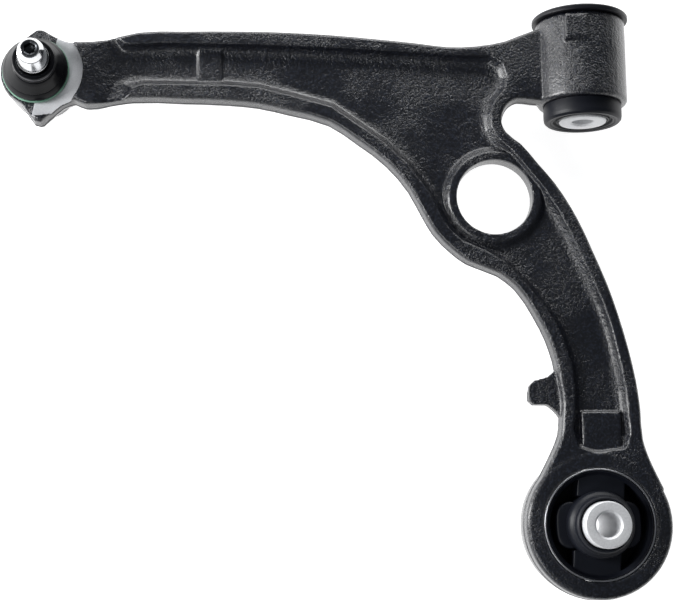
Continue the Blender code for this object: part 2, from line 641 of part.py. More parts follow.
# ---- rear bush, each piece standing on its own axis ----
def rear_outer_shell():
    inner = REAR_SHELL_R - REAR_SHELL_WALL
    low = ring_bottom + 0.5
    high = ring_top + REAR_SHELL_LIP
    profile = [(inner, low), (REAR_SHELL_R - 0.3, low), (REAR_SHELL_R, low + 0.5), (REAR_SHELL_R, high - 0.3),
               (REAR_SHELL_R - 0.3, high), (inner + 0.2, high)]
    return place(turned('rear_bush_outer_shell', profile, count=52, material=SHELL_STEEL), REAR)


def rear_rubber():
    """Liner, hub, two webs fore and aft, and two bump stops left and right, moulded as one."""
    liner_r = rear_liner_r
    low = ring_bottom + REAR_WEB_DROP
    high = ring_top - REAR_WEB_DROP
    liner = [(liner_r - REAR_LINER_WALL, low - 1.0), (liner_r, low - 1.0), (liner_r, high + 1.6),
             (liner_r - 1.0, high + 1.6), (liner_r - REAR_LINER_WALL, high)]
    rubber = turned('rear_bush_rubber', liner, count=52, material=BUSH_RUBBER)
    hub_low = ring_bottom - 4.0
    hub_top = ring_top + REAR_HUB_RISE
    core = rear_core_r
    foot_r = rear_hub_r + REAR_HUB_FOOT_WALL
    foot_top = ring_top + REAR_HUB_FOOT_RISE
    hub = turned('rear_hub', [(core, hub_low), (rear_hub_r - 1.0, hub_low), (rear_hub_r, hub_low + 1.0),
                              (rear_hub_r, low), (foot_r, low + 2.0), (foot_r, foot_top - 1.4),
                              (foot_r - 1.4, foot_top), (rear_hub_r, foot_top + 0.8),
                              (rear_hub_r, hub_top - 1.2), (rear_hub_r - 1.0, hub_top),
                              (core + 0.6, hub_top), (core, hub_top - REAR_HUB_STEP)])
    thin_floor = low + REAR_FLOOR_HEIGHT
    membrane = turned('rear_membrane', [(core + 1.0, thin_floor), (liner_r - 1.0, thin_floor),
                                        (liner_r - 1.0, thin_floor + REAR_FLOOR_THICKNESS),
                                        (core + 1.0, thin_floor + REAR_FLOOR_THICKNESS)], count=44)
    inside = core + 1.0
    half = REAR_WEB_WIDTH / 2
    reach = liner_r - REAR_LINER_WALL / 2
    spread = math.asin(half / reach)
    pieces = [hub, membrane]
    for side, word in ((1, 'front'), (-1, 'back')):
        arc = [spread * (1 - k / 4) for k in range(9)]
        shape = [(-half, inside), (half, inside)] + [(reach * math.sin(a), reach * math.cos(a)) for a in arc]
        corners = [Vector((side * x, side * y)) for x, y in shape]
        web = loft('rear_web_' + word, [(corners, low + 1.0), (corners, high - 0.6)])
        web.rotation_euler = (0, 0, REAR_WEB_TURN)
        pieces.append(web)
    root, tip = REAR_LOBE_ROOT / 2, REAR_LOBE_TIP / 2
    shape = [(inside, -root), (inside, root), (rear_hub_r + 1.0, root), (rear_lobe_reach, tip),
             (rear_lobe_reach, -tip), (rear_hub_r + 1.0, -root)]
    for side, word in ((1, 'inboard'), (-1, 'outboard')):
        corners = [Vector((side * x, side * y)) for x, y in shape]
        pieces.append(loft('rear_lobe_' + word, [(corners, low + 1.4), (corners, high - 1.2)]))
    core_cut = plug('rear_core', Vector((0, 0, 0)), core, hub_low - 1, hub_top + 1, 40)
    for piece in pieces:
        piece.location = REAR * METRE
    core_cut.location = REAR * METRE
    place(rubber, REAR)
    join(rubber, *pieces)
    cut(rubber, core_cut)
    weld(rubber)
    return rubber


def rear_inner_sleeve():
    profile = sleeve_profile(REAR_SLEEVE_R, REAR_BOLT_R, 0, rear_sleeve_top)
    return place(turned('rear_bush_inner_sleeve', profile, material=SLEEVE_METAL), REAR)


# ---- build ----
for old in list(bpy.data.objects):
    bpy.data.objects.remove(old, do_unlink=True)

CAST_BLACK = material('black coated casting', (0.018, 0.020, 0.024), 0.48)
BRIGHT_STEEL = material('machined steel', (0.75, 0.76, 0.78), 0.22, 1.0)
SEAT_PLASTIC = material('white acetal', (0.82, 0.82, 0.78), 0.45)
COVER_STEEL = material('plated cover', (0.55, 0.55, 0.53), 0.40, 1.0)
BOOT_RUBBER = material('boot rubber', (0.015, 0.015, 0.017), 0.38)
RING_GREEN = material('pale green ring', (0.52, 0.66, 0.56), 0.45)
RING_WIRE = material('dark spring wire', (0.10, 0.10, 0.11), 0.35, 1.0)
BUSH_BLACK = material('black coated tube', (0.020, 0.021, 0.024), 0.40)
BUSH_RUBBER = material('bush rubber', (0.022, 0.023, 0.026), 0.55)
SLEEVE_METAL = material('sleeve metal', (0.72, 0.73, 0.74), 0.45, 1.0)
SHELL_STEEL = material('shell steel', (0.62, 0.63, 0.65), 0.35, 1.0)

control_arm_casting()
ball_stud()
upper_ball_seat()
lower_ball_seat()
closing_cover()
dust_boot()
boot_lower_ring()
boot_upper_ring()
front_outer_tube()
front_rubber()
front_inner_sleeve()
rear_outer_shell()
rear_rubber()
rear_inner_sleeve()
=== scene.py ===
# %% [markdown]
# # A cast suspension arm
#
# The object is the lower arm of a car's front suspension: a black coated casting with a ball joint at its
# outer end, a bush lying in its front boss and a bush standing in its rear ring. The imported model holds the
# sizes and the moving bodies, so the script starts from it and measures everything against it.

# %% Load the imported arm
import json
import math

import bmesh
import bpy
from mathutils import Matrix, Vector

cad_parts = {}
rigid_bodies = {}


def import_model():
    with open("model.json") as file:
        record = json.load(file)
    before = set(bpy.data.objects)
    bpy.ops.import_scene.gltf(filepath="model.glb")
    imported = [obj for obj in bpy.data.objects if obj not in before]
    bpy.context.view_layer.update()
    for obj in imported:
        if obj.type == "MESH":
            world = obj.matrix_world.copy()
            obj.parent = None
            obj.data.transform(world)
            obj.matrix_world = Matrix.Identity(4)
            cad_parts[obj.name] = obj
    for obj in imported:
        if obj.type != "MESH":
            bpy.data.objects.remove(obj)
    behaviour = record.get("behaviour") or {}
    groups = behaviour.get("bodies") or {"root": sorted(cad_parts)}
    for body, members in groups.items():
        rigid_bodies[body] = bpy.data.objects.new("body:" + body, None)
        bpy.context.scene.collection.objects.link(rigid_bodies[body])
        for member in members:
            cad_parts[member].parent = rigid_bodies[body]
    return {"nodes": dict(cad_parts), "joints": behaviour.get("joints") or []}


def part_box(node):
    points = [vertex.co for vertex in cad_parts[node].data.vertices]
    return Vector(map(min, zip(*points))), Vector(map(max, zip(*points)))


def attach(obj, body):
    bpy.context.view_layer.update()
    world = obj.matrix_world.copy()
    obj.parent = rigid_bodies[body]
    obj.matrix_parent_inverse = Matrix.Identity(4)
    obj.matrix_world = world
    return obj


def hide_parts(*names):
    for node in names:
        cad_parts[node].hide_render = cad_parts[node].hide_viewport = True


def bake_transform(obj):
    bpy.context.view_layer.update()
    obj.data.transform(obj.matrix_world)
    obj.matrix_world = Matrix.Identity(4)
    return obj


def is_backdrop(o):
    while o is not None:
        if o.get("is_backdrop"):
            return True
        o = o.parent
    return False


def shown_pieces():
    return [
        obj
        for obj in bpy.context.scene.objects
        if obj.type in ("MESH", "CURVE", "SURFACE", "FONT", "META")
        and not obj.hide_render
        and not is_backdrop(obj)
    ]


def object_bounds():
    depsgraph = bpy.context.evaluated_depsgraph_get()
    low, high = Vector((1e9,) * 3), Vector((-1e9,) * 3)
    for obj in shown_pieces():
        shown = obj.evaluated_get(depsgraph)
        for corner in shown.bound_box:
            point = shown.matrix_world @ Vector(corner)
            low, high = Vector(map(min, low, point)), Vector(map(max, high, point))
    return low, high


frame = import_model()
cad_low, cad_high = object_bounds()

MM = 0.001
WELD = 0.002 * MM              # points nearer than this are one point
SHARP_ANGLE = math.radians(40.0)
print("arm measures", [round(side / MM, 1) for side in cad_high - cad_low], "mm")

# %% [markdown]
# The ball centre, the front pivot and the rear bush axis come from the joints, and they are the three points
# that a suspension engineer would name first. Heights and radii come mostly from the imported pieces' boxes.

# %% Places on the arm
joints = {joint["name"]: joint for joint in frame["joints"]}
BALL = Vector(joints["stud_spin"]["pos_m"]) / MM
FRONT = Vector(joints["front_sleeve_twist"]["pos_m"]) / MM
REAR = Vector(joints["rear_sleeve_tilt"]["pos_m"]) / MM
REAR.z = 0.0
HOLE = Vector((FRONT.x - 55.3, FRONT.y - 83.1, FRONT.z))    # the lightening hole's centre
stud_axis = Vector(joints["stud_spin"]["axis"])
STUD_LEAN = math.atan2(stud_axis.x, stud_axis.z)


def extent(node):
    """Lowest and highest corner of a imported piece, in millimetres."""
    low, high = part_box(node)
    return low / MM, high / MM


print("ball", tuple(round(v, 1) for v in BALL), "front", tuple(round(v, 1) for v in FRONT),
      "rear", tuple(round(v, 1) for v in REAR), "lean", round(math.degrees(STUD_LEAN), 1), "degrees")

# %% [markdown]
# ## Camera and light
#
# A black part shows what it reflects. A tall soft light stands on its left, a long low one beyond its far
# edge and a small one near its left, and the right side stays darker, so that each fillet has a bright and a
# dark flank. The camera looks down from 85 centimetres off, nine degrees away from upright.

# %% Camera
AIM_OUTBOARD = 149.0           # what the camera aims at, from the front pivot
AIM_BEHIND = 144.0
aim = Vector((FRONT.x - AIM_OUTBOARD, FRONT.y - AIM_BEHIND, FRONT.z)) * MM
look = Vector((0.0321, 0.1546, -0.9875)).normalized()
distance = 846.2 * MM
roll = math.radians(0.49)
camera_data = bpy.data.cameras.new("camera")
camera_data.lens = 76.37
camera_data.sensor_width = 36.0
camera = bpy.data.objects.new("camera", camera_data)
bpy.context.scene.collection.objects.link(camera)
back = -look
right = Vector((math.sin(roll), math.cos(roll), 0.0)).cross(back).normalized()
turn = Matrix((right, back.cross(right), back)).transposed()
camera.matrix_world = Matrix.Translation(aim + back * distance) @ turn.to_4x4()
bpy.context.scene.camera = camera
print("camera stands", round(camera.location.z / MM), "mm above the floor")

# %% Floor and lights
scene = bpy.context.scene
scene.view_settings.view_transform = 'Standard'


def area_light(name, place, size, power):
    """A soft box that faces the arm."""
    data = bpy.data.lights.new(name, 'AREA')
    data.shape = 'RECTANGLE'
    data.size, data.size_y = size
    data.energy = power
    light = bpy.data.objects.new(name, data)
    scene.collection.objects.link(light)
    light.location = place
    light.rotation_euler = (aim - light.location).to_track_quat('-Z', 'Y').to_euler()


area_light("left side", Vector((-1.20, 0.15, 0.50)), (0.45, 1.0), 24.0)
area_light("far edge", Vector((0.05, 1.30, 0.55)), (1.6, 0.35), 16.0)
area_light("near left", Vector((-0.75, -0.80, 1.10)), (0.5, 0.5), 5.0)
SKY_COLOUR = (0.86, 0.92, 1.0, 1.0)
SKY_STRENGTH = 0.09
world = bpy.data.worlds.new("studio")
scene.world = world
world.use_nodes = True
world.node_tree.nodes["Background"].inputs["Color"].default_value = SKY_COLOUR
world.node_tree.nodes["Background"].inputs["Strength"].default_value = SKY_STRENGTH

# %% [markdown]
# ## Writing node trees as sums
#
# A material is easier to read as sums than as a wall of links. `Value` wraps a socket, so Python's own
# operators add Math nodes, and `Recipe.node` adds any other node with its settings and its sockets.

# %% Values and recipes
class Value:
    """A node's output that can be used in a sum."""

    def __init__(self, recipe, socket):
        self.recipe = recipe
        self.socket = socket

    def __add__(self, other):
        return self.recipe.math('ADD', self, other)

    def __sub__(self, other):
        return self.recipe.math('SUBTRACT', self, other)

    def __rsub__(self, other):
        return self.recipe.math('SUBTRACT', other, self)

    def __mul__(self, other):
        return self.recipe.math('MULTIPLY', self, other)


class Recipe:
    """A node tree, written one node at a time."""

    def __init__(self, tree):
        self.tree = tree

    def node(self, kind, settings=None, sockets=None, output=0):
        made = self.tree.nodes.new(kind)
        for name, setting in (settings or {}).items():
            setattr(made, name, setting)
        for name, value in (sockets or {}).items():
            self.feed(made, name, value)
        return Value(self, made.outputs[output]) if made.outputs else None

    def feed(self, made, name, value):
        if isinstance(value, Value):
            self.tree.links.new(value.socket, made.inputs[name])
        else:
            made.inputs[name].default_value = value

    def math(self, operation, *values):
        return self.node('ShaderNodeMath', {'operation': operation}, dict(enumerate(values)))

    def ease(self, value, start, end):
        """0 before start, 1 after end, and a smooth step between."""
        return self.node('ShaderNodeMapRange', {'interpolation_type': 'SMOOTHSTEP'},
                         {'Value': value, 'From Min': start, 'From Max': end})


class Finish(Recipe):
    """A material around one Principled shader, with the helpers that metal and rubber need."""

    def __init__(self, name):
        self.material = bpy.data.materials.new(name)
        self.material.use_nodes = True
        super().__init__(self.material.node_tree)
        self.shader = self.tree.nodes['Principled BSDF']
        self.place = self.node('ShaderNodeTexCoord', output=3)

    def set(self, socket, value):
        if isinstance(value, tuple):
            value = (*value, 1.0)
        self.feed(self.shader, socket, value)

    def noise(self, grain, detail=2.0, roughness=0.55):
        """Noise whose lumps are about grain millimetres across."""
        return self.node('ShaderNodeTexNoise', None,
                         {'Vector': self.place, 'Scale': 0.7 / (grain * MM), 'Detail': detail,
                          'Roughness': roughness})

    def mix(self, share, first, second):
        """A colour between two colours."""
        return self.node('ShaderNodeMix', {'data_type': 'RGBA'},
                         {0: share, 6: (*first, 1.0), 7: (*second, 1.0)}, output=2)

    def bump(self, height, reach):
        """A bump of reach millimetres where height is 1."""
        return self.node('ShaderNodeBump', None, {'Height': height, 'Distance': reach * MM})


print("recipes ready")

# %% [markdown]
# ## The casting's black skin
#
# The arm is sand cast and then dipped in black paint. Sand leaves grains under a millimetre across on lumps
# of two or three millimetres, and the paint rounds them off and shines on their tops. The grains' tops are also
# given a lighter, bluish base colour: a painted glint.

# %% Cast skin
def cast_skin():
    skin = Finish('cast_skin')
    skin.shader.inputs['Specular IOR Level'].default_value = 0.7
    skin.shader.inputs['Coat Weight'].default_value = 0.5
    skin.shader.inputs['Coat Roughness'].default_value = 0.22
    grain = skin.noise(0.85, detail=2.5, roughness=0.60)
    lumps = skin.noise(2.6, detail=1.5)
    patches = skin.noise(30.0, detail=2.0)
    rough = skin.ease(patches, 0.36, 0.62)
    height = grain * (rough * 0.9 + 0.5) + lumps * 0.8
    skin.set('Normal', skin.bump(height, 0.6))
    # the lighter, bluish colour on the grains' tops is a painted glint; the darker one is the paint's own black
    hollow, painted_glint = (0.003, 0.0036, 0.0065), (0.014, 0.018, 0.030)
    skin.set('Base Color', skin.mix(skin.ease(grain, 0.46, 0.70), hollow, painted_glint))
    skin.set('Roughness', 0.27 - rough * 0.04 + grain * 0.10)
    return skin.material


def plain_metal(name, colour, roughness, grain=0.6, depth=0.02, metallic=1.0):
    metal = Finish(name)
    metal.set('Metallic', metallic)
    speck = metal.noise(grain, detail=2.0)
    metal.set('Base Color', metal.mix(speck, tuple(c * 0.7 for c in colour), colour))
    metal.set('Roughness', speck * 0.15 + roughness)
    metal.set('Normal', metal.bump(speck, depth))
    return metal.material


def rubber(name, colour, roughness, depth=0.03, shine=0.3):
    soft = Finish(name)
    soft.shader.inputs['Specular IOR Level'].default_value = shine
    speck = soft.noise(0.5, detail=1.5)
    cloud = soft.noise(12.0)
    soft.set('Base Color', soft.mix(cloud, colour, tuple(c * 1.7 for c in colour)))
    soft.set('Roughness', cloud * 0.12 + roughness)
    soft.set('Normal', soft.bump(speck, depth))
    return soft.material


CAST_SKIN = cast_skin()
STUD_END_STEEL = plain_metal('stud_end_steel', (0.10, 0.105, 0.115), 0.30, grain=0.8, depth=0.004)
STUD_STEEL = plain_metal('stud_steel', (0.80, 0.81, 0.83), 0.10, grain=2.5, depth=0.0004)
FACE_METAL = plain_metal('face_metal', (0.80, 0.81, 0.84), 0.42, grain=0.4, depth=0.03, metallic=0.25)
SLEEVE_METAL = plain_metal('sleeve_metal', (0.88, 0.89, 0.91), 0.42, grain=0.7, depth=0.10, metallic=0.3)
SHELL_METAL = plain_metal('shell_metal', (0.66, 0.67, 0.70), 0.28)
COVER_METAL = plain_metal('cover_metal', (0.56, 0.56, 0.52), 0.36)
RING_WIRE = plain_metal('ring_wire', (0.12, 0.12, 0.13), 0.30)
BOOT_RUBBER = rubber('boot_rubber', (0.0022, 0.0024, 0.0034), 0.27, depth=0.012, shine=0.2)
BUSH_RUBBER = rubber('bush_rubber', (0.0045, 0.0055, 0.009), 0.38, depth=0.02)
BUSH_PAINT = rubber('bush_paint', (0.005, 0.0055, 0.008), 0.32, depth=0.05)
SEAT_PLASTIC = rubber('seat_plastic', (0.55, 0.55, 0.52), 0.40)
RING_GREEN = rubber('ring_green', (0.14, 0.27, 0.20), 0.32)
print(len(bpy.data.materials), "finishes")

# %% [markdown]
# ## Turned pieces
#
# Sleeves, tubes, rings and the rubber boot are all turned: one outline carried round an axis. A Geometry
# Nodes tree does it once for all of them. The outline's corners are rounded by a named size, and the number
# of steps round the axis is another.

# %% A tree that turns an outline
LATHE_R = 50.0 * MM            # the outline is carried on a circle of this radius


def open_tree(name, inputs, result):
    """A new tree with its inputs and one output, and each input as a value."""
    group = bpy.data.node_groups.new(name, 'GeometryNodeTree')
    for socket, (kind, default) in inputs.items():
        made = group.interface.new_socket(socket, in_out='INPUT', socket_type='NodeSocket' + kind)
        if default is not None:
            made.default_value = default
    group.interface.new_socket(result, in_out='OUTPUT', socket_type='NodeSocketGeometry')
    tree = Recipe(group)
    given = tree.node('NodeGroupInput').socket.node.outputs
    return group, tree, {socket.name: Value(tree, socket) for socket in given}


def close_tree(tree, geometry, finish):
    """Real geometry with its material, sent to the tree's output."""
    real = tree.node('GeometryNodeRealizeInstances', None, {'Geometry': geometry})
    painted = tree.node('GeometryNodeSetMaterial', None, {'Geometry': real, 'Material': finish})
    tree.node('NodeGroupOutput', None, {0: painted})


def turned_tree():
    group, tree, ask = open_tree('turned piece', {
        'Outline': ('Geometry', None), 'Steps': ('Int', 96), 'Corner radius': ('Float', 0.0004),
        'Corner steps': ('Int', 3), 'Turn': ('Vector', None), 'Place': ('Vector', None),
        'Finish': ('Material', None)}, 'Piece')
    outline = tree.node('GeometryNodeMeshToCurve', None, {'Mesh': ask['Outline']})
    rounded = tree.node('GeometryNodeFilletCurve', {'mode': 'POLY'},
                        {'Curve': outline, 'Count': ask['Corner steps'], 'Radius': ask['Corner radius'],
                         'Limit Radius': True})
    path = tree.node('GeometryNodeCurvePrimitiveCircle', None,
                     {'Resolution': ask['Steps'], 'Radius': LATHE_R})
    shell = tree.node('GeometryNodeCurveToMesh', None, {'Curve': path, 'Profile Curve': rounded})
    closed = tree.node('GeometryNodeMergeByDistance', None, {'Geometry': shell, 'Distance': WELD})
    outward = tree.node('GeometryNodeFlipFaces', None, {'Mesh': closed})
    angle = tree.node('GeometryNodeInputMeshEdgeAngle')
    soft_edge = tree.node('FunctionNodeCompare', {'data_type': 'FLOAT', 'operation': 'LESS_THAN'},
                          {0: angle, 1: SHARP_ANGLE})
    faces = tree.node('GeometryNodeSetShadeSmooth', {'domain': 'FACE'},
                      {'Geometry': outward, 'Shade Smooth': True})
    edges = tree.node('GeometryNodeSetShadeSmooth', {'domain': 'EDGE'},
                      {'Geometry': faces, 'Shade Smooth': soft_edge})
    placed = tree.node('GeometryNodeTransform', None,
                       {'Geometry': edges, 'Rotation': ask['Turn'], 'Translation': ask['Place']})
    close_tree(tree, placed, ask['Finish'])
    return group


TURNED = turned_tree()


def link(name, mesh):
    obj = bpy.data.objects.new(name, mesh)
    scene.collection.objects.link(obj)
    return obj


def run_tree(obj, group, **inputs):
    """Run a tree on an object, and keep its result as a plain mesh."""
    modifier = obj.modifiers.new(group.name, 'NODES')
    modifier.node_group = group
    sockets = {item.name: item.identifier for item in group.interface.items_tree}
    for name, value in inputs.items():
        modifier[sockets[name.replace('_', ' ')]] = value
    seen = obj.evaluated_get(bpy.context.evaluated_depsgraph_get())
    mesh = bpy.data.meshes.new_from_object(seen)
    obj.modifiers.remove(modifier)
    obj.data = mesh
    mesh.name = obj.name
    return obj


def turned(name, outline, finish, place, turn=(0.0, 0.0, 0.0), corner=0.3, steps=96):
    """A piece turned from (radius, height) points, in millimetres, that go round its section."""
    mesh = bpy.data.meshes.new(name)
    points = [(radius * MM - LATHE_R, -height * MM, 0.0) for radius, height in outline]
    closing = 0 if outline[0][0] == 0 else 1
    runs = [(k, (k + 1) % len(points)) for k in range(len(points) - 1 + closing)]
    mesh.from_pydata(points, runs, [])
    obj = run_tree(link(name, mesh), TURNED, Steps=steps, Corner_radius=corner * MM, Turn=turn,
                   Place=tuple(Vector(place) * MM), Finish=finish)
    print(f"{name}: {len(obj.data.polygons)} faces")
    return obj


ALONG_PIVOT = (-math.pi / 2, 0.0, 0.0)

# %% [markdown]
# ## The casting
#
# A casting has no sharp edge: sand cannot hold one, and paint fills what is left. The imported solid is
# copied, its loose triangles are merged, and a voxel remesh turns it into one even skin that a few smoothing
# passes round off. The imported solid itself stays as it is, for the joints and the mass.

# %% The casting's skin
VOXEL = 0.8 * MM
SWELL = 0.30                   # what the smoothing takes off, and the paint puts back
MOST_TRIANGLES = 190000
FIT_GAP = 0.3                  # between a bore or a face and the piece that sits in it or on it


def merged_copy(node, name):
    mesh = frame["nodes"][node].data.copy()
    mesh.name = name
    data = bmesh.new()
    data.from_mesh(mesh)
    bmesh.ops.remove_doubles(data, verts=data.verts, dist=WELD)
    data.to_mesh(mesh)
    data.free()
    mesh.materials.clear()
    return link(name, mesh)


def apply_modifiers(obj):
    seen = obj.evaluated_get(bpy.context.evaluated_depsgraph_get())
    mesh = bpy.data.meshes.new_from_object(seen)
    obj.modifiers.clear()
    obj.data = mesh
    mesh.name = obj.name


def machined_cuts():
    """Cutters for what is machined after casting: the face, the bush bores, the boss ends, the underside
    and the ball joint's bore."""
    over = extent("control_arm_casting")[1].z + 5.0
    face = extent("dust_boot")[0].z - FIT_GAP
    shell_r = (extent("rear_bush_outer_shell")[1].x - REAR.x) + FIT_GAP
    tube_r = 22.9
    boss_half = 25.5
    ball_axis = (BALL.x, BALL.y, 0)
    rear_axis = (REAR.x, REAR.y, 0)
    flat = turned("facing", [(17.0, face), (28.0, face), (28.6, over), (17.0, over)], None, ball_axis,
                  corner=0.0, steps=128)
    rear = turned("rear_bore", [(0, -5), (shell_r, -5), (shell_r, over), (0, over)], None, rear_axis,
                  corner=0.0, steps=128)
    front = turned("front_bore", [(0, -40), (tube_r, -40), (tube_r, 40), (0, 40)], None, FRONT, ALONG_PIVOT,
                   corner=0.0, steps=96)
    ends = turned("boss_ends", [(0, boss_half), (60, boss_half), (60, 60), (0, 60)], None, FRONT, ALONG_PIVOT,
                  corner=0.0, steps=64)
    under = turned("under_face", [(0, -10), (70, -10), (70, 0.02), (0, 0.02)], None, ball_axis, corner=0.0,
                   steps=64)
    cover = extent("ball_joint_cover")[1].z
    bore_outline = [(0, -5), (16.6, -5), (16.6, cover - 3.3), (18.3, cover - 3.3), (18.3, cover + 0.15),
                    (16.8, cover + 0.15), (16.8, BALL.z + 6.3), (12.4, BALL.z + 6.3), (15.0, face + 2.2),
                    (15.8, over), (0, over)]
    ball = turned("joint_bore", bore_outline, None, ball_axis, corner=0.0, steps=96)
    return [flat, rear, front, ends, under, ball]


def cast_body():
    body = merged_copy("control_arm_casting", "cast_body")
    remesh = body.modifiers.new('skin', 'REMESH')
    remesh.mode = 'VOXEL'
    remesh.voxel_size = VOXEL
    remesh.use_smooth_shade = True
    smooth = body.modifiers.new('sand', 'SMOOTH')
    smooth.factor = 0.5
    smooth.iterations = 3
    swell = body.modifiers.new('paint', 'DISPLACE')
    swell.strength = SWELL * MM
    swell.mid_level = 0.0
    cutters = machined_cuts()
    for cutter in cutters:
        cut = body.modifiers.new(cutter.name, 'BOOLEAN')
        cut.operation = 'DIFFERENCE'
        cut.solver = 'MANIFOLD'
        cut.object = cutter
    apply_modifiers(body)
    print("cast body before thinning:", len(body.data.polygons), "faces")
    triangles = sum(len(face.vertices) - 2 for face in body.data.polygons)
    if triangles > MOST_TRIANGLES:
        thin = body.modifiers.new('thin', 'DECIMATE')
        thin.ratio = MOST_TRIANGLES / triangles
        apply_modifiers(body)
    for cutter in cutters:
        bpy.data.meshes.remove(cutter.data)
    body.data.shade_smooth()
    body.data.set_sharp_from_angle(angle=SHARP_ANGLE)
    body.data.materials.clear()
    body.data.materials.append(CAST_SKIN)
    print("cast body:", len(body.data.polygons), "faces")
    return body


casting = cast_body()
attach(casting, "arm")
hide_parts("control_arm_casting")

# %% [markdown]
# Where the two halves of the mould met, a thin flash runs round the middle of every outer wall. Its path is
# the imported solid's own outline at that height, and a Geometry Nodes tree carries a small section along it.

# %% Parting flash
def outline_at(height):
    """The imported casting's outer outline at one height, as loose edges."""
    data = bmesh.new()
    data.from_mesh(frame["nodes"]["control_arm_casting"].data)
    bmesh.ops.remove_doubles(data, verts=data.verts, dist=WELD)
    cut = bmesh.ops.bisect_plane(data, geom=[*data.verts, *data.edges, *data.faces], dist=1e-7,
                                 plane_co=(0, 0, height * MM), plane_no=(0, 0, 1))
    kept = {part for part in cut["geom_cut"] if isinstance(part, bmesh.types.BMEdge)}
    bores = [(REAR, 40.0), (BALL, 22.4), (HOLE, 23.6)]    # only edges outside these reaches are kept
    for edge in list(kept):
        middle = (edge.verts[0].co + edge.verts[1].co) / 2 / MM
        in_bore = any(math.hypot(middle.x - axis.x, middle.y - axis.y) < reach for axis, reach in bores)
        in_boss = abs(middle.x - FRONT.x) < 27.5 and abs(middle.y - FRONT.y) < 30.0
        if in_bore or in_boss:
            kept.discard(edge)
    bmesh.ops.delete(data, geom=[edge for edge in data.edges if edge not in kept], context='EDGES_FACES')
    bmesh.ops.delete(data, geom=[vert for vert in data.verts if not vert.link_edges], context='VERTS')
    mesh = bpy.data.meshes.new("flash_path")
    data.to_mesh(mesh)
    data.free()
    return mesh


def flash_tree():
    group, tree, ask = open_tree('parting flash', {
        'Outline': ('Geometry', None), 'Step': ('Float', None), 'Half width': ('Float', None),
        'Waver': ('Float', None), 'Finish': ('Material', None)}, 'Flash')
    path = tree.node('GeometryNodeMeshToCurve', None, {'Mesh': ask['Outline']})
    even = tree.node('GeometryNodeResampleCurve', {'mode': 'LENGTH'},
                     {'Curve': path, 'Length': ask['Step']})
    ragged = tree.node('ShaderNodeTexNoise', None, {'Scale': 160.0, 'Detail': 2.0})
    lift = tree.node('ShaderNodeCombineXYZ', None, {2: (ragged - 0.5) * ask['Waver']})
    wavy = tree.node('GeometryNodeSetPosition', None, {'Geometry': even, 'Offset': lift})
    section = tree.node('GeometryNodeCurvePrimitiveCircle', None,
                        {'Resolution': 8, 'Radius': ask['Half width']})
    ridge = tree.node('GeometryNodeCurveToMesh', None,
                      {'Curve': wavy, 'Profile Curve': section, 'Fill Caps': True})
    smooth = tree.node('GeometryNodeSetShadeSmooth', None, {'Geometry': ridge})
    close_tree(tree, smooth, ask['Finish'])
    return group


flash = run_tree(link("parting_flash", outline_at(FRONT.z)), flash_tree(), Step=1.2 * MM,
                 Half_width=0.55 * MM, Waver=1.2 * MM, Finish=CAST_SKIN)
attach(flash, "arm")
print("parting flash:", len(flash.data.polygons), "faces")

# %% [markdown]
# ## The machined face round the ball joint
#
# After painting, a facing cutter cleans the top of the ball end down to bare metal. Its edge is crisp where
# the cast skin beside it is round, so the face is its own thin plate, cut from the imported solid's flat faces.

# %% The machined face
def faced_plate():
    """The flat faces at the facing cutter's height, given a little thickness and a broken edge."""
    data = bmesh.new()
    data.from_mesh(frame["nodes"]["control_arm_casting"].data)
    bmesh.ops.remove_doubles(data, verts=data.verts, dist=WELD)
    level = extent("dust_boot")[0].z - FIT_GAP
    reach = 32.0
    waste = []
    for face in data.faces:
        middle = face.calc_center_median() / MM
        near = math.hypot(middle.x - BALL.x, middle.y - BALL.y) < reach
        if not (near and abs(middle.z - level) < 0.05 and face.normal.z > 0.99):
            waste.append(face)
    bmesh.ops.delete(data, geom=waste, context='FACES')
    bmesh.ops.dissolve_limit(data, angle_limit=0.01, verts=data.verts, edges=data.edges)
    # the front outer part of the ring is left as cast skin, so its faces are dropped
    cut_at = Vector((BALL.x + 7.0, BALL.y, level)) * MM
    bmesh.ops.bisect_plane(data, geom=[*data.verts, *data.edges, *data.faces], dist=1e-6, plane_co=cut_at,
                           plane_no=(1.0, -0.25, 0.0))
    front_ear = [face for face in data.faces if face.calc_center_median().x < cut_at.x
                 and face.calc_center_median().y > cut_at.y]
    bmesh.ops.delete(data, geom=front_ear, context='FACES')
    thick = bmesh.ops.extrude_face_region(data, geom=data.faces[:])
    top = [part for part in thick["geom"] if isinstance(part, bmesh.types.BMVert)]
    bmesh.ops.translate(data, verts=top, vec=(0, 0, 0.08 * MM))
    low = [vert for vert in data.verts if vert not in set(top)]
    bmesh.ops.translate(data, verts=low, vec=(0, 0, -0.5 * MM))
    bmesh.ops.recalc_face_normals(data, faces=data.faces)
    mesh = bpy.data.meshes.new("machined_face")
    data.to_mesh(mesh)
    data.free()
    mesh.materials.append(FACE_METAL)
    plate = link("machined_face", mesh)
    broken = plate.modifiers.new('broken edge', 'BEVEL')
    broken.width = 0.25 * MM
    broken.segments = 2
    broken.limit_method = 'ANGLE'
    apply_modifiers(plate)
    return plate


plate = faced_plate()
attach(plate, "arm")
print("machined face:", len(plate.data.polygons), "faces")

# %% [markdown]
# ## The ball stud
#
# The stud is turned and polished: a ball, a neck, a land that the boot grips, a collar and a taper. Its end
# has a hexagon socket, so its loops change from round to six-sided there, with the same number of points.

# %% The ball stud
STUD_STEPS = 96


def loop_points(radius, height, sides=0):
    """Points round the stud's axis; with sides given, radius is to the middle of a flat."""
    points = []
    for k in range(STUD_STEPS):
        angle = 2 * math.pi * k / STUD_STEPS
        reach = radius
        if sides:
            sector = 2 * math.pi / sides
            reach = radius / math.cos((angle + sector / 2) % sector - sector / 2)
        points.append(Vector((reach * math.cos(angle), reach * math.sin(angle), height)))
    return points


